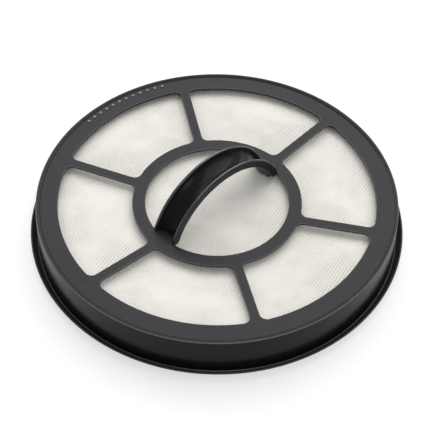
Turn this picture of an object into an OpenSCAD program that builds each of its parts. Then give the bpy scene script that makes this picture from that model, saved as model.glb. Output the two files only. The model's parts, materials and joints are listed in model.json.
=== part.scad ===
// Round exhaust filter of a vacuum cleaner, with a finger handle, a rim seal and a pleated pack.
// It lies on its rear, the handle's arch runs along X, and z = 0 is the rear of the frame.
// Measures are in millimetres.

/* [Frame] */
// Outside diameter of the skirt wall and of the lip on its edge
frame_d = 144.5; // [140:0.5:160]
// Height of the face's outer band above the rear of the frame
face_h = 18; // [16:0.5:24]
// Drop of the inner ring below the outer band: the spokes slope down to it
ring_drop = 2.4; // [1.6:0.1:3]
// Thickness of the face, the spokes and the inner ring
plate_t = 2; // [1.6:0.1:2.4]
// Thickness of the skirt wall
wall_t = 2.5; // [2.2:0.1:3.2]
// Height of the lip above the face
lip_h = 0.6; // [0.3:0.1:1]
// Radius of the lip's outer rounding
lip_round = 1.3; // [0.8:0.1:1.6]

/* [Windows] */
// Number of spokes, and so of windows
spokes = 6; // [4:1:8]
// Width of the flat band outside the windows
face_w = 9.2; // [6:0.05:12]
// Outside diameter of the inner ring
ring_outer_d = 67.6; // [64:0.2:72]
// Inside diameter of the inner ring
ring_inner_d = 57.3; // [55:0.1:59]
// Width of a spoke
spoke_w = 3.7; // [3:0.1:6]
// Corner radius of the windows
window_corner = 2.8; // [1.5:0.1:4]

/* [Handle] */
// Width of the handle
handle_w = 11.4; // [10:0.2:14]
// Height of the handle's edges above the ring
handle_rise = 20.4; // [18:0.1:24]
// Lap of the handle's edges over the ring's inner edge, at its top
handle_lap = 0.1; // [0.05:0.05:0.3]
// Depth of the finger channel below the edges
channel_depth = 3.5; // [2.5:0.1:4]
// Radius of the channel's floor, across the handle
channel_r = 7.2; // [6:0.1:9]
// Thickness of the edges
edge_t = 1.3; // [1:0.1:1.6]
// Depth of the straight side below an edge
side_depth = 3.2; // [2.4:0.1:4]
// Thickness of the handle under the middle of the channel
floor_t = 1.5; // [1.2:0.1:2]
// Drop of the small ramp that leads from the ring into the channel
ramp_drop = 0.9; // [0.4:0.1:1.2]

/* [Moulding marks] */
// Number of raised pips in the row beside the lip
pips = 12; // [6:1:16]
// Diameter of a pip
pip_d = 1.2; // [0.8:0.1:1.6]
// Height of a pip
pip_h = 0.25; // [0.15:0.05:0.4]
// Distance from the middle of a pip to the skirt's outside
pip_inset = 3.95; // [3:0.05:6]

/* [Rim seal] */
// Reach of the sealing lip beyond the skirt wall
seal_reach = 2.75; // [2:0.05:4]
// Height of the middle of the tip above the rear
seal_tip_h = 4.1; // [3:0.1:5]
// Thickness of the sealing lip at its tip
seal_tip_t = 0.8; // [0.6:0.1:1]
// Height of the seal's collar on the skirt
collar_h = 2.2; // [1.8:0.1:2.6]
// Thickness of the collar, which lies flush in the skirt
collar_t = 1; // [0.7:0.1:1.2]

/* [Cloth and felt] */
// Thickness of the woven cloth behind the face
cloth_t = 0.5; // [0.3:0.1:0.8]
// Play between the cloth and the skirt wall, all round
cloth_play = 0.35; // [0.2:0.05:0.6]
// Thickness of the felt in the middle, where the dish presses it down: the pleats fill what is left below
felt_t = 1.4; // [1:0.1:2.5]

/* [Pleated pack] */
// Distance from fold to fold
pleat_pitch = 5; // [4:0.5:6]
// Thickness of the filter paper
paper_t = 0.5; // [0.3:0.05:0.7]
// Width of the potting ring that seals the pack's edge
potting_w = 3.25; // [2.5:0.05:5]
// Depth to which the pack's edge is set into the potting
pack_set = 1; // [0.5:0.1:2]
// Distance between two glue beads
bead_gap = 28; // [24:1:32]
// Width of a glue bead
bead_w = 1.6; // [1:0.1:2.4]
// Depth that a glue bead reaches into the pleats
bead_depth = 3; // [2:0.1:4]
// Height of a glue bead over the folds
bead_over = 0.3; // [0.2:0.05:0.5]

/* [Rear frame] */
// Thickness of the rear frame
rear_t = 2; // [1.6:0.1:2.4]
// Width of the rear frame's ring
rear_ring_w = 8; // [6:0.5:12]
// Corner radius of the rear windows
rear_corner = 2; // [1:0.1:3]
// Diameter of the hub
hub_d = 20; // [16:1:30]
// Width of a rear spoke
rear_spoke_w = 3.2; // [2.6:0.1:4]
// Play between the rear frame and the skirt
rear_play = 0.25; // [0.2:0.05:0.4]
// Number of snap noses
noses = 6; // [3:1:8]

/* [Hidden] */
$fn = 96;
// Overlap of bodies that are joined, and reach of cuts past a face
eps = 1;
frame_r = frame_d / 2;
inner_r = frame_r - wall_t;
window_r = frame_r - face_w;
plate_z = face_h - plate_t;
ring_r = ring_inner_d / 2;
ring_z = face_h - ring_drop;
ring_under = ring_z - plate_t;
// Middle of a window's corner rounding, beside the spoke at 0 degrees
function corner_at(r, gap) = [sqrt(r * r - gap * gap), gap];
corner_y = spoke_w / 2 + window_corner;
corner_in = corner_at(ring_outer_d / 2 + window_corner, corner_y);
corner_out = corner_at(window_r - window_corner, corner_y);
// The ring and the band take in the rounded corners and end a little past them, on the straight spoke
past_corner = 0.3;
ring_reach = corner_in[0] + past_corner;
band_reach = corner_out[0] - past_corner;
// A bar slopes from the ring to the band, and laps over both by a flat end
bar_lap = 0.2;
bar_flat = 0.15;
slope_in = ring_reach + bar_flat;
slope_out = band_reach - bar_flat;
// The layers under the face slope this much further out, to stay clear of the bars
layer_ease = 0.1;
// The arch's edges rise by handle_rise over the ring, and land on its inner edge
handle_land = ring_r + handle_lap;
arch_r = (handle_land * handle_land + handle_rise * handle_rise) / (2 * handle_rise);
arch_z = ring_z + handle_rise - arch_r;
half_w = handle_w / 2;
channel_w = handle_w - 2 * edge_t;
side_r = arch_r - side_depth;
floor_r = arch_r - channel_depth;
belly_r = floor_r - floor_t;
// Half the arch's width at a radius and a height
function arch_x(r, z) = sqrt(r * r - pow(z - arch_z, 2));
// The small ramps start inside the handle's wall and end on the ring
ramp_in = (arch_x(belly_r, ring_under) + arch_x(floor_r, ring_z)) / 2;
ramp_out = ring_r + 0.8;
ramp_run = ramp_out - ramp_in;
// The row of pips runs over this stretch of the face
pip_from = 67.3;
pip_to = 98.9;
pip_r = frame_r - pip_inset;
// Two round marks are left by the mould: angle, distance from the skirt's outside and diameter
marks = [[179.3, 6.2, 2.6], [282.5, 4, 2]];
mark_depth = 0.2;
seal_tip_r = frame_r + seal_reach;
// Depth of the lip's root in the collar
root_depth = 0.4;
// Height at which the sealing lip leaves the collar, below and above
lip_low = 0.35;
lip_high = 1.85;
groove_z = 0.8;
groove_h = 0.8;
groove_depth = 0.7;
nose_w = 8;
nose_play = 0.15;
cloth_r = inner_r - cloth_play;
potting_r = inner_r - potting_w;
pack_r = potting_r + pack_set;
pleats = 2 * floor(pack_r / pleat_pitch) + 1;
rear_r = inner_r - rear_play;
cloth_z = plate_z - cloth_t;
felt_z = cloth_z - ring_drop - felt_t;
pack_z = rear_t + bead_over;
pack_top = felt_z - bead_over;
pack_h = pack_top - pack_z;
// The pack's height is the fold's height plus the upright thickness of the slanting paper, paper_v, where
// paper_v = paper_t * sqrt(1 + (2 * fold_h / pleat_pitch)^2). Solved for fold_h:
paper_k = 1 - pow(2 * paper_t / pleat_pitch, 2);
fold_h = (pack_h - sqrt(pack_h * pack_h - paper_k * (pack_h * pack_h - paper_t * paper_t))) / paper_k;
paper_v = pack_h - fold_h;
bead_count = 4;

function backwards(points) = [for (i = [len(points) - 1:-1:0]) points[i]];

// Frame

// Cross-section of ring, band, lip and skirt wall, to the right of the middle
module frame_section() {
    difference() {
        union() {
            translate([ring_r, ring_under]) square([ring_reach - ring_r, plate_t]);
            translate([band_reach, plate_z]) square([frame_r - lip_round - band_reach, plate_t]);
            translate([inner_r, 0]) square([wall_t, face_h + lip_h - lip_round]);
            translate([frame_r - lip_round - 0.2, plate_z]) square([0.2, plate_t + lip_h]);
            translate([frame_r - lip_round, face_h + lip_h - lip_round]) circle(lip_round);
        }
        // The seal's collar lies in this step
        translate([frame_r - collar_t, -eps]) square([collar_t + eps, collar_h + eps]);
        // The rear frame's noses snap in here
        translate([inner_r - eps, groove_z]) square([groove_depth + eps, groove_h]);
    }
}

// The sloping part of the spoke at 0 degrees
module spoke_bar() {
    upper = [[ring_reach - bar_lap, ring_z], [slope_in, ring_z],
             [slope_out, face_h], [band_reach + bar_lap, face_h]];
    lower = [for (p = upper) p - [0, plate_t]];
    translate([0, spoke_w / 2, 0]) rotate([90, 0, 0]) linear_extrude(spoke_w)
        polygon(concat(upper, backwards(lower)));
}

// One window between the spokes at 0 degrees and at step degrees
module window(r_in, r_out, half_spoke, corner, step) {
    half = step / 2;
    tip = half_spoke / sin(half);
    c_in = corner_at(r_in + corner, half_spoke + corner);
    c_out = corner_at(r_out - corner, half_spoke + corner);
    difference() {
        intersection() {
            difference() {
                circle(r_out);
                circle(r_in);
            }
            translate(tip * [cos(half), sin(half)])
                polygon([[0, 0], 2 * r_out * [1, 0], 3 * r_out * [cos(half), sin(half)],
                         2 * r_out * [cos(step), sin(step)]]);
        }
        for (side = [0, 1])
            rotate(side * half) mirror([0, side]) rotate(-side * half) {
                window_corner(c_in, -1, corner, half_spoke);
                window_corner(c_out, 1, corner, half_spoke);
            }
    }
}

// What a rounded corner leaves standing: dir is 1 at the outer circle, -1 at the inner one
module window_corner(c, dir, corner, half_spoke) {
    out = dir * c / norm(c);
    difference() {
        polygon([c, [c[0], half_spoke - eps], [c[0] + dir * (corner + 2), half_spoke - eps],
                 c + (corner + eps) * out]);
        translate(c) circle(corner);
    }
}

module windows(r_in, r_out, half_spoke, corner, z, h) {
    for (i = [0:spokes - 1])
        translate([0, 0, z]) rotate(i * 360 / spokes) linear_extrude(h)
            window(r_in, r_out, half_spoke, corner, 360 / spokes);
}

// Cross-section of the handle: x is the distance from the arch's centre, y runs across
module handle_section() {
    // Radius of the underside: it meets the sides just above their lower ends, which stay as small flats
    sag = side_r + 0.3 - belly_r;
    under_r = (half_w * half_w + sag * sag) / (2 * sag);
    difference() {
        union() {
            translate([side_r, -half_w]) square([side_depth - edge_t / 2, handle_w]);
            for (side = [-1, 1])
                translate([arch_r - edge_t / 2, side * (half_w - edge_t / 2)]) circle(edge_t / 2);
            intersection() {
                translate([belly_r + under_r, 0]) circle(under_r);
                translate([belly_r - eps, -half_w]) square([sag + 2 * eps, handle_w]);
            }
        }
        intersection() {
            translate([floor_r + channel_r, 0]) circle(channel_r);
            translate([floor_r - eps, -channel_w / 2]) square([channel_depth + 2 * eps, channel_w]);
        }
    }
}

// The arch stands on the ring: what lies below the ring's underside is cut off
module handle() {
    intersection() {
        translate([0, 0, arch_z]) rotate([90, 0, 0]) rotate_extrude() handle_section();
        translate([-2 * arch_r, -handle_w, ring_under]) cube([4 * arch_r, 2 * handle_w, 2 * arch_r]);
    }
}

// Fills the gap between the ring and the handle's channel, as a small ramp
module ramp_pad() {
    along_channel([[0, ring_under], [ramp_run, ring_under], [ramp_run, ring_z], [0, ring_z - ramp_drop]]);
}

module ramp_cut() {
    along_channel([[0, ring_z - ramp_drop], [ramp_run, ring_z], [ramp_run, ring_z + eps], [0, ring_z + eps]]);
}

// An outline in the plane of the arch, as wide as the channel
module along_channel(outline) {
    translate([ramp_in, channel_w / 2, 0]) rotate([90, 0, 0]) linear_extrude(channel_w) polygon(outline);
}

module face_marks() {
    for (m = marks)
        rotate(m[0]) translate([frame_r - m[1], 0, face_h - mark_depth]) cylinder(h = 1, d = m[2]);
}

module face_pips() {
    for (i = [0:pips - 1])
        rotate(pip_from + i * (pip_to - pip_from) / (pips - 1))
            translate([pip_r, 0, face_h - 0.5]) cylinder(h = 0.5 + pip_h, d = pip_d);
}

module front_frame() {
    color([0.27, 0.265, 0.27]) union() {
        difference() {
            rotate_extrude() frame_section();
            windows(ring_outer_d / 2, window_r, spoke_w / 2, window_corner, ring_under - eps,
                    plate_t + ring_drop + 2 * eps);
            for (side = [0, 180]) rotate(side) ramp_cut();
            face_marks();
        }
        for (i = [0:spokes - 1]) rotate(i * 360 / spokes) spoke_bar();
        for (side = [0, 180]) rotate(side) ramp_pad();
        handle();
        face_pips();
    }
}

// Rim seal

// The collar lies in the skirt's step, and the lip flares up and out from it
module rim_seal() {
    root_r = frame_r - root_depth;
    tip = [seal_tip_r - seal_tip_t / 2, seal_tip_h];
    run = tip - [frame_r, (lip_low + lip_high) / 2];
    across = [-run[1], run[0]] * seal_tip_t / 2 / norm(run);
    color([0.11, 0.11, 0.115]) rotate_extrude() union() {
        translate([frame_r - collar_t, 0]) square([collar_t, collar_h]);
        polygon([[root_r, lip_low], [frame_r, lip_low], tip - across, tip + across,
                 [frame_r, lip_high], [root_r, lip_high]]);
        translate(tip) circle(seal_tip_t / 2);
    }
}

// Cloth, felt and pack

// Line from the middle to the rim that follows the underside of the face: top is its height at the rim
function dished_line(top) =
    [[0, top - ring_drop], [slope_in + layer_ease, top - ring_drop],
     [slope_out + layer_ease, top], [cloth_r, top]];

module front_cloth() {
    color([0.93, 0.92, 0.9]) rotate_extrude()
        polygon(concat(dished_line(plate_z), backwards(dished_line(cloth_z))));
}

// Flat below and dished above, because the face presses it down in the middle
module felt_pad() {
    color([0.9, 0.9, 0.88]) rotate_extrude()
        polygon(concat(dished_line(cloth_z), [[cloth_r, felt_z], [0, felt_z]]));
}

// Height of the fold line at fold i: odd folds lie low, even ones high
function fold_z(i) = pack_z + paper_v / 2 + (i % 2 == 0 ? fold_h : 0);
function fold_x(i) = (i - pleats) * pleat_pitch / 2;

// Outline of the folded paper's front (side = 1) or rear (side = -1)
function fold_line(side) = [for (i = [0:2 * pleats]) [fold_x(i), fold_z(i) + side * paper_v / 2]];

// Draws an outline of the XZ plane through the whole pack
module through_pack(outline) {
    translate([0, pack_r, 0]) rotate([90, 0, 0]) linear_extrude(2 * pack_r) polygon(outline);
}

// The folded paper, as it lies in the frame
module folded_paper() {
    intersection() {
        through_pack(concat(fold_line(1), backwards(fold_line(-1))));
        cylinder(h = face_h, r = pack_r);
    }
}

module pleat_pack() {
    color([0.95, 0.95, 0.93]) folded_paper();
}

// Cast round the pack's edge, so that no air passes beside the paper
module potting_ring() {
    color([0.86, 0.84, 0.76]) difference() {
        translate([0, 0, rear_t]) cylinder(h = felt_z - rear_t, r = inner_r);
        translate([0, 0, rear_t - eps]) cylinder(h = felt_z, r = potting_r);
        folded_paper();
    }
}

// One line of glue that reaches into the folds, from the front (side = 1) or the rear (side = -1)
module bead(index, side) {
    y = (index - (bead_count - 1) / 2) * bead_gap;
    reach = sqrt(potting_r * potting_r - pow(abs(y) + bead_w, 2)) - 0.3;
    z = side > 0 ? pack_top - bead_depth : rear_t;
    beyond = side > 0 ? face_h : 0;
    color([0.9, 0.87, 0.74]) intersection() {
        translate([-reach, y - bead_w / 2, z]) cube([2 * reach, bead_w, bead_depth + bead_over]);
        through_pack(concat(fold_line(side), [[fold_x(2 * pleats), beyond], [fold_x(0), beyond]]));
    }
}

// Rear frame

module rear_frame() {
    nose_z = groove_z + nose_play;
    nose_h = groove_h - 2 * nose_play;
    color([0.2, 0.2, 0.205]) union() {
        difference() {
            cylinder(h = rear_t, r = rear_r);
            windows(hub_d / 2, rear_r - rear_ring_w, rear_spoke_w / 2, rear_corner, -eps, rear_t + 2 * eps);
        }
        for (i = [0:noses - 1])
            rotate((i + 0.5) * 360 / noses) translate([rear_r - eps, -nose_w / 2, nose_z])
                cube([groove_depth - nose_play + eps, nose_w, nose_h]);
    }
}

front_frame();
rim_seal();
front_cloth();
felt_pad();
pleat_pack();
potting_ring();
rear_frame();
bead(0, 1);  // front_bead_1
bead(1, 1);  // front_bead_2
bead(2, 1);  // front_bead_3
bead(3, 1);  // front_bead_4
bead(0, -1);  // rear_bead_1
bead(1, -1);  // rear_bead_2
bead(2, -1);  // rear_bead_3
bead(3, -1);  // rear_bead_4
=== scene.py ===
# %% [markdown]
# This lesson dresses the round exhaust filter of a vacuum cleaner. Its solids come finished from CAD, so
# nothing here is fitted by eye: they are loaded first, and each later cell gives one of them its surface,
# its softness or its light. The box of the solids is kept.

import json
import math

import bmesh
import bpy
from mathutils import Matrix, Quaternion, Vector, noise

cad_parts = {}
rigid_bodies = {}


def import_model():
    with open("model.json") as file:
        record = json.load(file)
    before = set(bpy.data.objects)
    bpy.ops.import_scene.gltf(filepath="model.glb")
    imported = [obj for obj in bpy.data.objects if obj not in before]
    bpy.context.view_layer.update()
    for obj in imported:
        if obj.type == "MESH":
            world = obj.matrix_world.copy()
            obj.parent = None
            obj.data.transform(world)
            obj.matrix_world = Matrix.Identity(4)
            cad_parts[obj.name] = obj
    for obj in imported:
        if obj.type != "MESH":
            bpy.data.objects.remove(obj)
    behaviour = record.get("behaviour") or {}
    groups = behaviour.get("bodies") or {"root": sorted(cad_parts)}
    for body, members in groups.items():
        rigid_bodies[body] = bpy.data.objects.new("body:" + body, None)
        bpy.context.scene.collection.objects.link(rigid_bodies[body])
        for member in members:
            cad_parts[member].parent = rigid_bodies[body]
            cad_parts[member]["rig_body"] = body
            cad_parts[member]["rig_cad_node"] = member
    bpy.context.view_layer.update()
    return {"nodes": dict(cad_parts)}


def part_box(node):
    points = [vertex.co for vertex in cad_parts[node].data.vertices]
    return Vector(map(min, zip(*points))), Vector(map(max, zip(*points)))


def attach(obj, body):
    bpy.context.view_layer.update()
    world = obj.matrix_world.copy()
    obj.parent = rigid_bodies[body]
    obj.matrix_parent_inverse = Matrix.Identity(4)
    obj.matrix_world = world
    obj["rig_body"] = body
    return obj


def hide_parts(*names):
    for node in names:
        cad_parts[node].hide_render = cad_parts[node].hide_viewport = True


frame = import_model()
nodes = frame["nodes"]
MM = 0.001

# %% [markdown]
# Operators work on whatever is selected, and the loaded solids all are. So one small helper leaves only the
# wanted objects selected, with the first of them active.


# %% Pick objects
def pick(*wanted):
    bpy.ops.object.select_all(action="DESELECT")
    for item in wanted:
        item.select_set(True)
    bpy.context.view_layer.objects.active = wanted[0]


# %% [markdown]
# The picture looks down on the filter from 48 degrees above the table, from the front left of the handle, at
# nearly half a metre, so that the far rim looks a little narrower than the near one. The camera looks at the
# middle of the face. The lens is shifted, as on a view camera, which moves the filter in the frame to where
# it is in the picture and doesn't turn the view.

# %% Camera
FACE_H = 18
face_middle = Vector((0, 0, FACE_H * MM))
camera_far = 473.3 * MM
camera_up = math.radians(47.69)
camera_side = math.radians(-43.63)
camera_roll = Quaternion((0, 0, 1), math.radians(0.72))
ground_back = Vector((math.sin(camera_side), -math.cos(camera_side), 0))
back = ground_back * math.cos(camera_up) + Vector((0, 0, math.sin(camera_up)))
stand = face_middle + camera_far * back

bpy.ops.object.camera_add(location=stand)
camera = bpy.context.object
camera.name = "camera"
camera.data.sensor_width = 36
camera.data.lens = 100.53
camera.data.shift_x = -0.0086
camera.data.shift_y = -0.041
camera.data.clip_start = 0.05
camera.rotation_mode = "QUATERNION"
camera.rotation_quaternion = (-back).to_track_quat("-Z", "Y") @ camera_roll
bpy.context.scene.camera = camera
print("camera at", [round(value, 3) for value in stand], "metres")

# %% [markdown]
# Shaders are sums at heart: a weave is a product of waves, and dust is a noise above a limit. A small class
# holds one output of a shader, and plain maths on it adds the Math nodes, also where a number comes first.


# %% Maths on shader values
class Wire:
    """One output socket of a finish that is being made."""

    def __init__(self, finish, socket):
        self.finish = finish
        self.socket = socket

    def also(self, out):
        return Wire(self.finish, self.socket.node.outputs[out])

    def maths(self, operation, *others):
        values = dict(enumerate((self, *others)))
        return self.finish.node("ShaderNodeMath", {"operation": operation}, values)

    def __add__(self, other):
        return self.maths("ADD", other)

    def __mul__(self, other):
        return self.maths("MULTIPLY", other)

    def __sub__(self, other):
        return self.maths("SUBTRACT", other)

    def __rsub__(self, other):
        return self.finish.node("ShaderNodeMath", {"operation": "SUBTRACT"}, {0: other, 1: self})

    __radd__ = __add__
    __rmul__ = __mul__


# %% [markdown]
# Every other node comes from one method, which takes the node's type, its settings, and the values or wires
# of its sockets. The rest of the class gives names to the few combinations that the finishes share: noise of
# a known size, a soft step, a mix of colours, and a bump of a known depth.


# %% A finish in the making
class Finish:
    """A material and the means to add nodes to it."""

    def __init__(self, name):
        self.material = bpy.data.materials.new(name)
        self.material.use_nodes = True
        self.tree = self.material.node_tree
        self.tree.nodes.clear()
        self.place = self.node("ShaderNodeTexCoord", out="Object")

    def node(self, kind, settings=None, inputs=None, out=0):
        made = self.tree.nodes.new(kind)
        for name, value in (settings or {}).items():
            setattr(made, name, value)
        for name, value in (inputs or {}).items():
            if isinstance(value, Wire):
                self.tree.links.new(value.socket, made.inputs[name])
            else:
                made.inputs[name].default_value = value
        return None if out is None else Wire(self, made.outputs[out])

    def grain(self, size, detail=2.0, place=None):
        """Noise from 0 to 1 whose spots are about size metres wide."""
        where = {"Vector": place or self.place, "Scale": 0.5 / size, "Detail": detail}
        return self.node("ShaderNodeTexNoise", None, where)

    def step(self, value, low, high, at_low=0.0, at_high=1.0):
        """Runs softly from one number to another while value goes from low to high."""
        ends = {"Value": value, 1: low, 2: high, 3: at_low, 4: at_high}
        return self.node("ShaderNodeMapRange", {"interpolation_type": "SMOOTHSTEP"}, ends)

    def mix(self, factor, first, second):
        """A colour between two colours."""
        return self.node("ShaderNodeMix", {"data_type": "RGBA"}, {0: factor, 6: first, 7: second}, 2)

    def bump(self, height, depth):
        """A normal that follows a height from 0 to 1, which stands for depth metres."""
        return self.node("ShaderNodeBump", None, {"Height": height, "Distance": depth, "Strength": 1.0})

    def surface(self, **inputs):
        """Ends the material with the plain surface shader. A _ in a name stands for a space."""
        named = {name.replace("_", " "): value for name, value in inputs.items()}
        shader = self.node("ShaderNodeBsdfPrincipled", None, named)
        self.node("ShaderNodeOutputMaterial", None, {"Surface": shader}, None)
        return self.material


# %% [markdown]
# The face, the ring and the spokes are charcoal plastic from a mould with a fine etched grain, so they take a
# soft, even sheen from the light overhead. The grain is a small bump, broad patches vary the sheen a little,
# and specks of dust lie on it. The colour itself is nearly black: what looks grey is the sheen.

# %% Satin plastic of the face
satin = Finish("charcoal_satin")
etched = satin.grain(0.35 * MM, 3.0)
patches = satin.grain(14 * MM, 3.0)
dust = satin.step(satin.grain(0.5 * MM, 1.0), 0.72, 0.8)
shade = satin.mix(patches, (0.0168, 0.0162, 0.0186, 1), (0.0215, 0.021, 0.0232, 1))
satin_plastic = satin.surface(
    Base_Color=satin.mix(dust * 0.25, shade, (0.12, 0.115, 0.11, 1)),
    Roughness=0.33 + patches * 0.16 + dust * 0.2,
    Normal=satin.bump(etched, 0.012 * MM),
    Specular_IOR_Level=0.21,
)
print("satin plastic nodes:", len(satin.tree.nodes))

# %% [markdown]
# The skirt and the handle's channel came off polished steel, so they are smoother and look blacker. Long faint
# wipe marks run round them. A polished face gets a lower sheen level here, because in the picture it mirrors
# the dark side of the studio.

# %% Polished plastic of the skirt and the channel
polished = Finish("charcoal_polished")
wipes = polished.node("ShaderNodeMapping", None, {"Vector": polished.place, "Scale": (1, 1, 9)})
marks = polished.grain(9 * MM, 3.0, wipes)
waves = polished.grain(2.5 * MM, 1.0)
polished_plastic = polished.surface(
    Base_Color=polished.mix(marks, (0.006, 0.0056, 0.006, 1), (0.012, 0.0112, 0.0115, 1)),
    Roughness=0.2 + marks * 0.12,
    Normal=polished.bump(waves, 0.01 * MM),
    Specular_IOR_Level=0.1,
)
print("polished plastic nodes:", len(polished.tree.nodes))

# %% [markdown]
# Fingers and cloths rub a moulding at its edges, and rubbing polishes them. The same plastic is smoother there
# and throws back more of the light. On the lip's corner and on the flange at the foot of the wall, a pale grey
# is painted in as a painted highlight, and the small pips get the same pale grey. The two draw the thin bright
# lines.

# %% Rubbed edges and painted highlight grey
rubbed = Finish("charcoal_rubbed")
worn = rubbed.grain(3 * MM, 3.0)
rubbed_plastic = rubbed.surface(
    Base_Color=rubbed.mix(worn, (0.02, 0.0195, 0.021, 1), (0.035, 0.034, 0.036, 1)),
    Roughness=0.2 + worn * 0.12,
    Normal=rubbed.bump(rubbed.grain(0.8 * MM, 2.0), 0.01 * MM),
    Specular_IOR_Level=0.85,
)
# A pale grey, painted as a highlight on the lip's corner and the flange; the pips get the same grey.
highlight_and_pip_grey = Finish("charcoal_highlight_and_pip_grey")
grey_mottle = highlight_and_pip_grey.grain(0.4 * MM, 2.0)
highlight_and_pip_plastic = highlight_and_pip_grey.surface(
    Base_Color=highlight_and_pip_grey.mix(grey_mottle, (0.07, 0.0685, 0.07, 1), (0.14, 0.1375, 0.14, 1)),
    Roughness=0.3 + grey_mottle * 0.1,
    Specular_IOR_Level=0.8,
)
print("rubbed plastic nodes:", len(rubbed.tree.nodes), "scuffed:", len(highlight_and_pip_grey.tree.nodes))

# %% [markdown]
# The seal is a soft rubber lip. Rubber is duller than the plastic beside it and a little brown, it shows the
# fine rings of its mould, and pale dust settles on it.

# %% Rubber of the seal
rubber = Finish("seal_rubber")
drawn = rubber.node("ShaderNodeMapping", None, {"Vector": rubber.place, "Scale": (0.12, 0.12, 1)})
rings = rubber.grain(0.6 * MM, 2.0, drawn)
lint = rubber.step(rubber.grain(1.1 * MM, 3.0), 0.58, 0.8)
seal_rubber = rubber.surface(
    Base_Color=rubber.mix(lint * 0.3, (0.028, 0.026, 0.025, 1), (0.085, 0.078, 0.07, 1)),
    Roughness=0.5 + lint * 0.2,
    Normal=rubber.bump(rings, 0.03 * MM),
    Specular_IOR_Level=0.35,
)
print("rubber nodes:", len(rubber.tree.nodes))

# %% [markdown]
# The cloth is a coarse plain weave of white thread. Its ribs lie 1.15 mm apart and run 16 degrees off the
# handle's line, and thinner threads cross them. In a plain weave each thread goes over and under in turn, so
# the product of two long waves says which thread is on top, and two short waves round each thread. A broad
# noise makes the weave stand out in some patches and nearly vanish in others, as on the real cloth. The
# hollows between the threads are painted darker there, as painted shade.

# %% Woven cloth
RIB = 1.15 * MM
CROSS = 1.2 * MM
woven = Finish("woven_cloth")
wobble = woven.grain(7 * MM, 2.0) * (1.2 * MM)
lean = math.radians(16.4)
turned = woven.node("ShaderNodeMapping", None, {"Vector": woven.place, "Rotation": (0, 0, -lean)})
along = woven.node("ShaderNodeSeparateXYZ", None, {0: turned}, 0) + wobble
across = woven.node("ShaderNodeSeparateXYZ", None, {0: turned}, 1) + wobble
rib = (across * (2 * math.pi / RIB)).maths("COSINE") * 0.5 + 0.5
thread = (along * (2 * math.pi / CROSS)).maths("COSINE") * 0.5 + 0.5
on_top = (across * (math.pi / RIB)).maths("COSINE") * (along * (math.pi / CROSS)).maths("COSINE")
rib_height = rib * (0.8 + on_top * 0.2)
thread_height = thread * (0.4 - on_top * 0.2)
weave = rib_height.maths("MAXIMUM", thread_height)
fibres = woven.grain(0.12 * MM, 2.0)
soil = woven.grain(16 * MM, 3.0)
pulled = woven.step(woven.grain(9 * MM, 2.5), 0.38, 0.62, 0.3, 1.0)
# Painted shade: the low places of the weave, between the threads, get a darker colour where the weave is strong.
weave_gap_shade = 1 - (1 - woven.step(weave, 0.05, 0.55)) * pulled
thread_colour = woven.mix(soil, (0.79, 0.755, 0.69, 1), (0.83, 0.8, 0.735, 1))
cloth_white = woven.surface(
    Base_Color=woven.mix(weave_gap_shade, (0.61, 0.583, 0.535, 1), thread_colour),
    Roughness=0.92,
    Normal=woven.bump(weave * pulled + fibres * 0.15, 0.2 * MM),
    Specular_IOR_Level=0.15,
)
print("woven cloth nodes:", len(woven.tree.nodes))

# %% [markdown]
# Felt is loose fibre pressed flat, filter paper is a finer mat with a faint grey cast in streaks along its
# pleats, the cast edge is a milky resin, and the glue lines are a clear, slightly yellow plastic. Each is a pale
# solid whose life is in its grain, so the four finishes differ in the size of their noise and in their gloss.


# %% Pale finishes of the inner pieces
def pale_finish(name, light, dark, size, depth, gloss, sheen_level, stretch=(1, 1, 1)):
    finish = Finish(name)
    drawn = finish.node("ShaderNodeMapping", None, {"Vector": finish.place, "Scale": stretch})
    fine = finish.grain(size, 4.0, drawn)
    broad = finish.grain(size * 20, 3.0)
    colour = finish.mix(finish.step(fine * 0.6 + broad * 0.4, 0.35, 0.65), dark, light)
    return finish.surface(
        Base_Color=colour,
        Roughness=gloss + fine * 0.1,
        Normal=finish.bump(fine, depth),
        Specular_IOR_Level=sheen_level,
    )


felt_white = pale_finish(
    "felt_white", (0.85, 0.84, 0.81, 1), (0.68, 0.67, 0.64, 1), 0.3 * MM, 0.15 * MM, 0.85, 0.1
)
paper_white = pale_finish(
    "filter_paper", (0.88, 0.875, 0.85, 1), (0.76, 0.755, 0.73, 1), 0.2 * MM, 0.04 * MM, 0.8, 0.2, (1, 0.4, 1)
)
resin = pale_finish(
    "potting_resin", (0.74, 0.7, 0.58, 1), (0.66, 0.62, 0.5, 1), 1.5 * MM, 0.03 * MM, 0.3, 0.5
)
glue = pale_finish(
    "hot_glue", (0.83, 0.78, 0.62, 1), (0.74, 0.68, 0.5, 1), 1.0 * MM, 0.06 * MM, 0.22, 0.5
)
print("pale finishes:", [m.name for m in (felt_white, paper_white, resin, glue)])

# %% [markdown]
# A CAD solid is never changed, but a copy of it may be. The copy's loose triangles are welded, and the edges
# that lie inside flat faces are dissolved, so that what is left are the true edges of the moulding. A flat
# face with holes in it can't be one face of a mesh. So it is first cut by upright planes through the middle
# of the part, one through each hole, and the cuts are marked as seams, which the dissolving spares.


# %% Cuts through the middle
def cut_through_middle(piece, angles, wanted=lambda place: True):
    """Cuts the faces whose middle, in mm, passes the test by upright planes at these angles in degrees."""
    for angle in angles:
        bpy.ops.mesh.select_mode(type="EDGE")
        bpy.ops.mesh.select_all(action="DESELECT")
        mesh = bmesh.from_edit_mesh(piece.data)
        for polygon in mesh.faces:
            if wanted(polygon.calc_center_median() / MM):
                polygon.select_set(True)
        bmesh.update_edit_mesh(piece.data)
        turned = math.radians(angle)
        across = (-math.sin(turned), math.cos(turned), 0)
        bpy.ops.mesh.bisect(plane_co=(0, 0, 0), plane_no=across, threshold=0.000001)
        bpy.ops.mesh.mark_seam()


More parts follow.
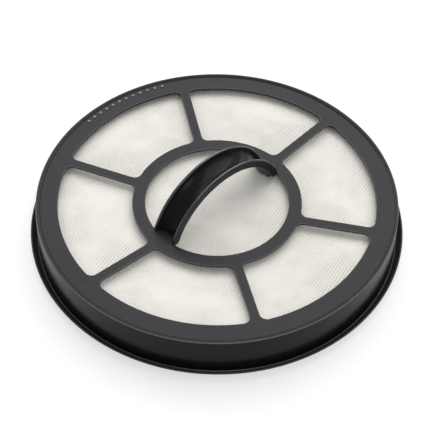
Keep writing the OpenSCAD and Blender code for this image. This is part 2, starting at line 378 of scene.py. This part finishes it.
# %% Welded copy of a solid
def welded_copy(node, name, cuts=lambda piece: None):
    """A welded copy of a CAD solid that rides on the frame and stands for the solid."""
    pick(nodes[node])
    bpy.ops.object.duplicate()
    piece = bpy.context.object
    piece.name = name
    piece.data.name = name
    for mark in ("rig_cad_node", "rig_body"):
        del piece[mark]
    piece.parent = None
    bpy.ops.mesh.customdata_custom_splitnormals_clear()
    bpy.ops.object.mode_set(mode="EDIT")
    bpy.ops.mesh.select_all(action="SELECT")
    bpy.ops.mesh.remove_doubles(threshold=0.000001)
    cuts(piece)
    bpy.ops.mesh.select_all(action="SELECT")
    bpy.ops.mesh.dissolve_limited(angle_limit=math.radians(0.4), delimit={"SEAM"})
    bpy.ops.object.mode_set(mode="OBJECT")
    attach(piece, "root")
    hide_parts(node)
    return piece


# %% [markdown]
# Real moulded edges are never razor sharp: a radius of a fifth of a millimetre catches a thin line of light. The
# edges to round are picked by place and by how sharply they turn, and the bevel operator rounds them.


# %% Round chosen edges
def round_edges(piece, wanted, radius, steps=2):
    """Bevels the outward edges that turn by more than 40 degrees and whose middle passes the test wanted."""
    pick(piece)
    bpy.ops.object.mode_set(mode="EDIT")
    bpy.ops.mesh.select_all(action="DESELECT")
    bpy.ops.mesh.select_mode(type="EDGE")
    mesh = bmesh.from_edit_mesh(piece.data)
    picked = 0
    for edge in mesh.edges:
        middle = (edge.verts[0].co + edge.verts[1].co) / 2 / MM
        if len(edge.link_faces) == 2 and edge.calc_face_angle_signed() > math.radians(40) and wanted(middle):
            edge.select_set(True)
            picked += 1
    bmesh.update_edit_mesh(piece.data)
    bpy.ops.mesh.bevel(offset=radius, segments=steps, profile=0.5, affect="EDGES", clamp_overlap=False)
    bpy.ops.object.mode_set(mode="OBJECT")
    return picked


# %% [markdown]
# Smooth shading bends light over an edge. On a moulding the bend has to stay in the narrow bevel, and the big
# flat faces beside it have to stay flat, so the weighted normal modifier lets the larger face decide.


# %% Smooth shading
def smooth(piece, angle=35, flats=False):
    pick(piece)
    bpy.ops.object.shade_smooth_by_angle(angle=math.radians(angle))
    if flats:
        weigh = piece.modifiers.new("flat faces stay flat", "WEIGHTED_NORMAL")
        weigh.keep_sharp = True
        bpy.ops.object.modifier_apply(modifier=weigh.name)


# %% [markdown]
# The face is a shallow dish: its outer band is flat, the ring in the middle lies 2.4 mm lower, and the spokes
# slope down from one to the other. Much depends on that slope, so it comes first, as a rule that gives 0 on
# the ring and 1 on the band.

# %% Slope of the dish
DROP = 2.4
RING_Z = FACE_H - DROP
SLOPE_IN = 36.75
SLOPE_OUT = 59.62


def slope(reach, shift=0.0):
    """From 0 on the ring to 1 on the band, at a distance in mm from the middle."""
    return min(max((reach - shift - SLOPE_IN) / (SLOPE_OUT - SLOPE_IN), 0), 1)


print("height of the face half way down a spoke:", round(RING_Z + DROP * slope(48), 2), "mm")

# %% [markdown]
# The solid of the front frame is plain where the real moulding is fine. The real bars are thin and stand clear
# over the cloth, and the two round marks of the mould are shallow. Each is a short rule on where a point lies,
# so the points of the copy are moved by such rules before its flat faces are joined.

# %% Thin bars and shallow marks
BAR_T = 0.8
WALL_INSIDE = 69.75


def refine(piece):
    """Raises the underside of the face, and the floor of the marks, in the welded copy."""
    mesh = bmesh.from_edit_mesh(piece.data)
    for point in mesh.verts:
        x, y, z = point.co / MM
        reach = math.hypot(x, y)
        if reach < WALL_INSIDE + 0.1 and z > RING_Z - 2.1:
            z = max(z, RING_Z - BAR_T + DROP * slope(reach))
        if 60 < reach < 69 and FACE_H - 0.7 < z < FACE_H - 0.01:
            z = FACE_H - (FACE_H - z) * 0.35
        point.co.z = z * MM
    bmesh.update_edit_mesh(piece.data)
    bpy.ops.mesh.select_all(action="SELECT")
    bpy.ops.mesh.remove_doubles(threshold=0.000001)


print("thickness of the bars:", BAR_T, "mm")

# %% [markdown]
# The outside of the real skirt leans in a little towards the top, so that it leaves its mould, and ends in a
# crisp corner with a small radius. A small flange at its foot covers the edge of the seal. So the outside of
# the copy is taken away and drawn anew, as a profile: the lip's edge is extruded from point to point of it, and
# the last row is bridged to the foot of the wall.

# %% Profile of the skirt's outside
LIP_TOP = FACE_H + 0.6
LIP_FLAT = 70.95
WALL_R = 72.25
WALL_TOP = 71.7
CORNER = 0.35
COLLAR_TOP = 2.2
skirt_profile = []
for part in range(6):
    turned = math.radians(18 * part)
    outer = WALL_TOP - CORNER + CORNER * math.sin(turned)
    skirt_profile.append((outer, LIP_TOP - CORNER + CORNER * math.cos(turned)))
skirt_profile += [(WALL_R, COLLAR_TOP + 0.25), (WALL_R + 0.28, COLLAR_TOP)]
print("profile of the skirt:", [(round(r, 2), round(z, 2)) for r, z in skirt_profile])


# %% Draw the outside anew
def select_open_edges(piece, heights):
    """Selects the open edges that lie at one of these heights in mm."""
    bpy.ops.mesh.select_mode(type="EDGE")
    bpy.ops.mesh.select_all(action="DESELECT")
    mesh = bmesh.from_edit_mesh(piece.data)
    for edge in mesh.edges:
        middle = (edge.verts[0].co.z + edge.verts[1].co.z) / 2 / MM
        if edge.is_boundary and min(abs(middle - height) for height in heights) < 0.01:
            edge.select_set(True)
    bmesh.update_edit_mesh(piece.data)


def redraw_outside(piece):
    bpy.ops.mesh.select_mode(type="FACE")
    bpy.ops.mesh.select_all(action="DESELECT")
    mesh = bmesh.from_edit_mesh(piece.data)
    for polygon in mesh.faces:
        inner = min(math.hypot(point.co.x, point.co.y) for point in polygon.verts) / MM
        outside = inner > LIP_FLAT - 0.02 and polygon.calc_center_median().z / MM > COLLAR_TOP + 0.1
        polygon.select_set(outside)
    bmesh.update_edit_mesh(piece.data)
    bpy.ops.mesh.delete(type="FACE")
    select_open_edges(piece, [LIP_TOP])
    for radius, height in skirt_profile:
        bpy.ops.mesh.extrude_edges_move()
        mesh = bmesh.from_edit_mesh(piece.data)
        for point in mesh.verts:
            if point.select:
                aside = radius * MM / math.hypot(point.co.x, point.co.y)
                point.co = (point.co.x * aside, point.co.y * aside, height * MM)
        bmesh.update_edit_mesh(piece.data)
    select_open_edges(piece, [COLLAR_TOP])
    bpy.ops.mesh.bridge_edge_loops()
    bpy.ops.mesh.select_all(action="SELECT")
    bpy.ops.mesh.normals_make_consistent(inside=False)
    mesh = bmesh.from_edit_mesh(piece.data)
    print("open edges after the redraw:", sum(edge.is_boundary for edge in mesh.edges))


# %% [markdown]
# The front frame is one moulding: face, lip, spokes, ring, skirt and handle. Its copy gets the finer shape, and
# rounded edges at the windows, at the middle ring and inside the lip. The feet of the handle are left alone,
# because there the walls run into each other.

# %% Front frame
PIP_ANGLES = [67.3 + 31.6 * index / 11 for index in range(12)]


def on_the_face(place):
    return abs(place.z - RING_Z - DROP * slope(math.hypot(place.x, place.y))) < 0.03


def by_the_pips(place):
    return on_the_face(place) and 62 < math.degrees(math.atan2(place.y, place.x)) < 104


def beside_the_handle(place):
    return math.hypot(place.x, place.y) > 29 or place.z < RING_Z + 0.01


def cut_face(piece):
    refine(piece)
    redraw_outside(piece)
    cut_through_middle(piece, range(0, 180, 10), beside_the_handle)
    cut_through_middle(piece, [282.5], on_the_face)
    cut_through_middle(piece, PIP_ANGLES, by_the_pips)


def window_edge(middle):
    radius = math.hypot(middle.x, middle.y)
    at_foot = radius < 30 and abs(middle.y) < 5.65
    return on_the_face(middle) and radius < 63.5 and not at_foot


def lip_edge(middle):
    return abs(middle.z - LIP_TOP) < 0.01 and math.hypot(middle.x, middle.y) < 70.9


face = welded_copy("front_frame", "front_frame_moulding", cut_face)
print("window edges:", round_edges(face, window_edge, 0.15 * MM))
print("lip edges:", round_edges(face, lip_edge, 0.12 * MM))
smooth(face, 35, flats=True)

# %% [markdown]
# One moulding, four finishes: the outside of the skirt and the inside of the handle's channel are polished, the
# windows' edges and the handle's rims are rubbed, the lip's corner and the flange are pale grey as a painted
# highlight, the pips are the same pale grey, and the rest is satin. A face knows its place and which way it
# points, and that is enough to tell them apart.

# %% Finishes on the front frame
face.data.materials.clear()
for plastic in (satin_plastic, polished_plastic, rubbed_plastic, highlight_and_pip_plastic):
    face.data.materials.append(plastic)
ARCH_R = 30.46
ARCH_Z = 5.54
counts = [0, 0, 0, 0]
for polygon in face.data.polygons:
    place = polygon.center / MM
    reach = math.hypot(place.x, place.y)
    from_arch = math.hypot(place.x, place.z - ARCH_Z)
    outwards = polygon.normal.x * place.x + polygon.normal.z * (place.z - ARCH_Z)
    skirt = reach > 71 and place.z < FACE_H - 0.6 and abs(polygon.normal.z) < 0.3
    low = from_arch < ARCH_R - 0.5 and abs(place.y) < 4.8
    ramp = polygon.normal.z > 0.95 and place.z < RING_Z
    channel = place.z > RING_Z - 0.8 and low and reach < 29.5 and outwards > 0 and not ramp
    steep = 0.25 < polygon.normal.z < 0.97
    corner = reach > WALL_TOP - CORNER and place.z > LIP_TOP - CORNER and steep
    flange = reach > WALL_R - 0.1 and abs(place.z - COLLAR_TOP - 0.1) < 0.15 and polygon.normal.z > 0.2
    edge = steep and reach < 63.5 and abs(place.z - RING_Z - DROP * slope(reach)) < 0.2
    rim = reach < 29 and place.z > RING_Z + 2 and from_arch > ARCH_R - 0.3 and abs(place.y) > 4.4
    pip = 62 < reach < 69.6 and place.z > FACE_H + 0.02
    polygon.material_index = 1 if skirt or channel else 0
    if rim or edge and not channel:
        polygon.material_index = 2
    # The lip's corner and the flange get the pale grey as a painted highlight, the pips the same grey.
    if corner or flange or pip:
        polygon.material_index = 3
    counts[polygon.material_index] += 1
print("faces in satin, polished, rubbed and scuffed:", counts)

# %% [markdown]
# The seal and the rear frame are mouldings too. The rear frame gets the same rounded edges, seen from behind.

# %% Rim seal and rear frame
seal = welded_copy("rim_seal", "rim_seal_lip")
seal.data.materials.clear()
seal.data.materials.append(seal_rubber)
smooth(seal)

rear = welded_copy(
    "rear_frame", "rear_frame_moulding", lambda piece: cut_through_middle(piece, range(0, 180, 10))
)
print("rear edges:", round_edges(rear, lambda middle: abs(middle.z) < 0.01, 0.25 * MM))
rear.data.materials.clear()
rear.data.materials.append(satin_plastic)
smooth(rear, 35, flats=True)

# %% [markdown]
# The cloth is stretched flat under the bars of the face, and the felt behind it presses it a little forward in
# each window. So the height of each point follows from its distance to the nearest bar. This could be left to
# a cloth simulation, but a sheet that is glued down all round barely moves, and a rule gives the same pillow
# each time. First comes the rule that says how far a point is from what holds it.

# %% Distance to the nearest bar
RING_IN = 28.65
RING_OUT = 33.8
WINDOW_R = 63.05
HALF_SPOKE = 1.85
FOOT_X = 24.15
FOOT_Y = 5.7


def gap_to_bar(x, y):
    """How many millimetres a point lies from the nearest bar of the face, and 0 under a bar."""
    reach = math.hypot(x, y)
    if reach < RING_IN:
        foot = math.hypot(max(FOOT_X - abs(x), 0), max(abs(y) - FOOT_Y, 0))
        return min(RING_IN - reach, foot)
    turn = (math.degrees(math.atan2(y, x)) + 30) % 60 - 30
    aside = reach * abs(math.sin(math.radians(turn))) - HALF_SPOKE
    return max(min(reach - RING_OUT, WINDOW_R - reach, aside), 0)


print("gap in the middle of a window:", round(gap_to_bar(0, 48), 1), "mm, under a spoke:", gap_to_bar(45, 0))

# %% [markdown]
# A round sheet of even squares is a grid with its corners cut off. The points of its edge are then drawn onto
# the circle, which nobody sees, because the face covers them.


# %% Round sheet of even squares
def round_sheet(name, radius, squares):
    """A flat round sheet in the plane z = 0."""
    bpy.ops.object.select_all(action="DESELECT")
    bpy.ops.mesh.primitive_grid_add(x_subdivisions=squares, y_subdivisions=squares, size=2 * radius)
    piece = bpy.context.object
    piece.name = name
    piece.data.name = name
    cell = 2 * radius / squares
    bpy.ops.object.mode_set(mode="EDIT")
    bpy.ops.mesh.select_all(action="DESELECT")
    mesh = bmesh.from_edit_mesh(piece.data)
    for point in mesh.verts:
        point.select_set(point.co.length > radius + 0.1 * cell)
    mesh.select_flush(True)
    bmesh.update_edit_mesh(piece.data)
    bpy.ops.mesh.delete(type="VERT")
    mesh = bmesh.from_edit_mesh(piece.data)
    for point in mesh.verts:
        if point.is_boundary:
            point.co = point.co.normalized() * radius
    bmesh.update_edit_mesh(piece.data)
    bpy.ops.object.mode_set(mode="OBJECT")
    return piece


# %% [markdown]
# The sheet follows the dish of the face, 1.2 mm under its bars, which throw soft shadows on it, and it rises by
# about a millimetre in the middle of a window. Small gathers run out from the bars, where the cloth is pulled,
# and slow waves keep the surface from looking ironed. Solidify gives it its thickness downwards, so the side
# that shows stays where it is.

# %% Front cloth
cloth_low, cloth_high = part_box("front_cloth")
CLOTH_R = cloth_high.x
CLOTH_TOP = cloth_high.z
SINK = 1.2 * MM
PILLOW = 1.1 * MM


def lift(x, y):
    """How far the cloth stands above its place at the rim, in metres: less than 0 in the dish."""
    gap = gap_to_bar(x / MM, y / MM)
    rise = min(gap / 12, 1)
    rise = rise * rise * (3 - 2 * rise)
    near = math.exp(-gap / 3) * min(gap, 1)
    gathers = noise.noise(Vector((x, y, 0)) / (1.7 * MM)) * 0.08 * MM * near
    slow = noise.noise(Vector((x, y, 5 * MM)) / (11 * MM)) * 0.7 * MM * rise
    slow += noise.noise(Vector((x, y, 9 * MM)) / (4.5 * MM)) * 0.14 * MM * rise
    dish = DROP * MM * (slope(math.hypot(x, y) / MM, 0.1) - 1)
    return dish - SINK + PILLOW * rise + gathers + slow


cloth = round_sheet("woven_cloth_sheet", CLOTH_R, 168)
for point in cloth.data.vertices:
    point.co.z = CLOTH_TOP - 0.02 * MM + lift(point.co.x, point.co.y)
cloth.data.materials.append(cloth_white)
pick(cloth)
thick = cloth.modifiers.new("thread thickness", "SOLIDIFY")
thick.thickness = 0.45 * MM
thick.offset = -1
bpy.ops.object.modifier_apply(modifier=thick.name)
smooth(cloth, 60)
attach(cloth, "root")
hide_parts("front_cloth")
print("cloth faces:", len(cloth.data.polygons), "rise in mm:", round((cloth.bound_box[1][2] - CLOTH_TOP) / MM, 2))

# %% [markdown]
# The felt pad fills the space between the cloth and the pleats. It follows the cloth's pillow on top, lies
# flat below, and its rim is rounded by the press. It starts as the same kind of sheet, drawn out downwards.

# %% Felt pad
felt_low, felt_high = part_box("felt_pad")
felt = round_sheet("felt_cushion", felt_high.x - 0.3 * MM, 84)
for point in felt.data.vertices:
    point.co.z = felt_high.z - 0.05 * MM + lift(point.co.x, point.co.y)
    point.co.z += noise.noise(point.co / (1.3 * MM)) * 0.03 * MM
bpy.ops.object.mode_set(mode="EDIT")
bpy.ops.mesh.select_all(action="SELECT")
bpy.ops.mesh.extrude_region_move(TRANSFORM_OT_translate={"value": (0, 0, -0.4 * MM)})
bpy.ops.mesh.extrude_region_move(TRANSFORM_OT_translate={"value": (0, 0, -0.4 * MM)})
bpy.ops.object.mode_set(mode="OBJECT")
for point in felt.data.vertices:
    if point.select:
        point.co.z = felt_low.z + 0.05 * MM
round_edges(felt, lambda middle: math.hypot(middle.x, middle.y) > 68, 0.35 * MM, 3)
felt.data.materials.append(felt_white)
smooth(felt, 50)
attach(felt, "root")
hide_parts("felt_pad")
print("felt faces:", len(felt.data.polygons))

# %% [markdown]
# Folded paper turns in a small round fold, where the solid has a sharp one. So the pleats are made afresh: a
# flat strip of many narrow columns is bent into walls and round folds of the same pitch and height, thickened
# to the paper, and cut to the round by the intersection with a drum. A slow wave moves the walls a little, as
# in paper that was folded by machine but packed by hand.

# %% Profile of the pleats
pack_low, pack_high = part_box("pleat_pack")
PITCH = 5 * MM
PAPER = 0.5 * MM
FOLD_R = 0.5 * MM
pack_middle = (pack_low.z + pack_high.z) / 2
half_height = (pack_high.z - pack_low.z - PAPER) / 2
wall_top = half_height - FOLD_R


def half_fold():
    """One wall and half of the folds at its ends, from a low fold to a high one, around the wall's middle."""
    lean = math.atan2(PITCH / 4 - FOLD_R, wall_top)
    bow = [math.pi / 2 - step * (math.pi / 2) / 3 for step in range(3)]
    high = [(PITCH / 4 - FOLD_R * math.cos(turn), wall_top + FOLD_R * math.sin(turn)) for turn in bow]
    low = [(-x, -z) for x, z in high]
    wall = [(-math.tan(lean) * wall_top * part, -wall_top * part) for part in (1, 0.5, 0, -0.5, -1)]
    return low + wall + list(reversed(high))


print("points from fold to fold:", len(half_fold()))

# %% Pleat pack
columns = []
walls = 2 * 27
for index in range(walls):
    side = 1 if index % 2 == 0 else -1
    start = (index - (walls - 1) / 2) * PITCH / 2
    for x, z in half_fold()[: None if index == walls - 1 else -1]:
        columns.append((start + x, side * z))
bpy.ops.object.select_all(action="DESELECT")
bpy.ops.mesh.primitive_grid_add(x_subdivisions=len(columns) - 1, y_subdivisions=30, size=2)
pleats = bpy.context.object
pleats.name = "pleated_paper"
pleats.data.name = "pleated_paper"
for point in pleats.data.vertices:
    column = round((point.co.x + 1) / 2 * (len(columns) - 1))
    x, z = columns[column]
    y = point.co.y * 69 * MM
    sway = noise.noise(Vector((x / (6 * MM), y / (16 * MM), 0))) * 0.28 * MM
    point.co = (x + sway, y, pack_middle + z)
thick = pleats.modifiers.new("paper", "SOLIDIFY")
thick.thickness = PAPER
thick.offset = 0
pick(pleats)
bpy.ops.object.modifier_apply(modifier=thick.name)
print("pleats before the cut:", len(pleats.data.polygons), "faces")

# %% Cut the pleats to the round
bpy.ops.mesh.primitive_cylinder_add(vertices=128, radius=pack_high.x, depth=30 * MM, location=(0, 0, pack_middle))
drum = bpy.context.object
pick(pleats)
trim = pleats.modifiers.new("drum", "BOOLEAN")
trim.operation = "INTERSECT"
trim.object = drum
bpy.ops.object.modifier_apply(modifier=trim.name)
bpy.data.objects.remove(drum)
pleats.data.materials.clear()
pleats.data.materials.append(paper_white)
smooth(pleats, 40)
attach(pleats, "root")
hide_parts("pleat_pack")
print("pleats:", len(pleats.data.polygons), "faces")

# %% [markdown]
# The cast edge keeps its solid and takes the resin. The glue lines are copies with soft long edges, because a
# thread of hot glue is round where nothing shapes it.

# %% Potting and glue lines
ring = nodes["potting_ring"]
ring.data.materials.clear()
ring.data.materials.append(resin)

for number in range(1, 5):
    for side in ("front", "rear"):
        bead = welded_copy(f"{side}_bead_{number}", f"{side}_glue_line_{number}")
        lows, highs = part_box(f"{side}_bead_{number}")
        outer = highs.z / MM if side == "front" else lows.z / MM
        round_edges(bead, lambda middle: abs(middle.z - outer) < 0.01, 0.4 * MM, 3)
        bead.data.materials.clear()
        bead.data.materials.append(glue)
        smooth(bead, 50)
print("glue lines done")

# %% [markdown]
# The studio is plain: a pale floor, a dim grey world, and one wide soft light above and behind the filter, a
# little to the right, where the camera sees it mirrored in the face. A small light low on the left and a weak
# one beside the camera do little more than draw thin lines on the edges. The floor is white paper, and it is
# lifted for what the camera and the reflections see, so that the background is white and keeps the shadow.

# %% Floor
bpy.ops.object.select_all(action="DESELECT")
bpy.ops.mesh.primitive_plane_add(size=12, location=(0, 0, -0.02 * MM))
floor = bpy.context.object
floor.name = "floor"
paper = Finish("white_floor")
path = paper.node("ShaderNodeLightPath", out="Is Camera Ray")
seen = path.maths("MAXIMUM", path.also("Is Glossy Ray")).maths("MAXIMUM", path.also("Is Transmission Ray"))
base = paper.node("ShaderNodeBsdfDiffuse", None, {"Color": (0.46, 0.46, 0.46, 1)})
glow = paper.node("ShaderNodeEmission", None, {"Color": (1, 1, 1, 1), "Strength": seen * 0.58})
both = paper.node("ShaderNodeAddShader", None, {0: base, 1: glow})
paper.node("ShaderNodeOutputMaterial", None, {"Surface": both}, None)
floor.data.materials.append(paper.material)

# %% Lights
world = bpy.data.worlds.new("studio")
bpy.context.scene.world = world
world.use_nodes = True
sky = world.node_tree.nodes["Background"]
sky.inputs["Color"].default_value = (0.94, 0.97, 1.0, 1)
sky.inputs["Strength"].default_value = 0.5


def soft_light(name, side, up, far, size, watts):
    """A square light that looks at the filter. side and up are degrees round and above it."""
    turned = math.radians(side)
    raised = math.radians(up)
    out = Vector((math.sin(turned) * math.cos(raised), -math.cos(turned) * math.cos(raised), math.sin(raised)))
    bpy.ops.object.light_add(type="AREA", location=out * far)
    light = bpy.context.object
    light.name = name
    light.data.size = size
    light.data.energy = watts
    light.rotation_mode = "QUATERNION"
    light.rotation_quaternion = (-out).to_track_quat("-Z", "Y")
    return light


soft_light("overhead_softbox", -43.6 + 162, 54, 1.5, 1.67, 19.4)
soft_light("left_softbox", -43.6 + 222, 30, 0.9, 0.4, 1.3)
soft_light("front_fill", -43.6 + 12, 55, 0.9, 0.25, 0.8)

bpy.context.scene.view_settings.view_transform = "Standard"
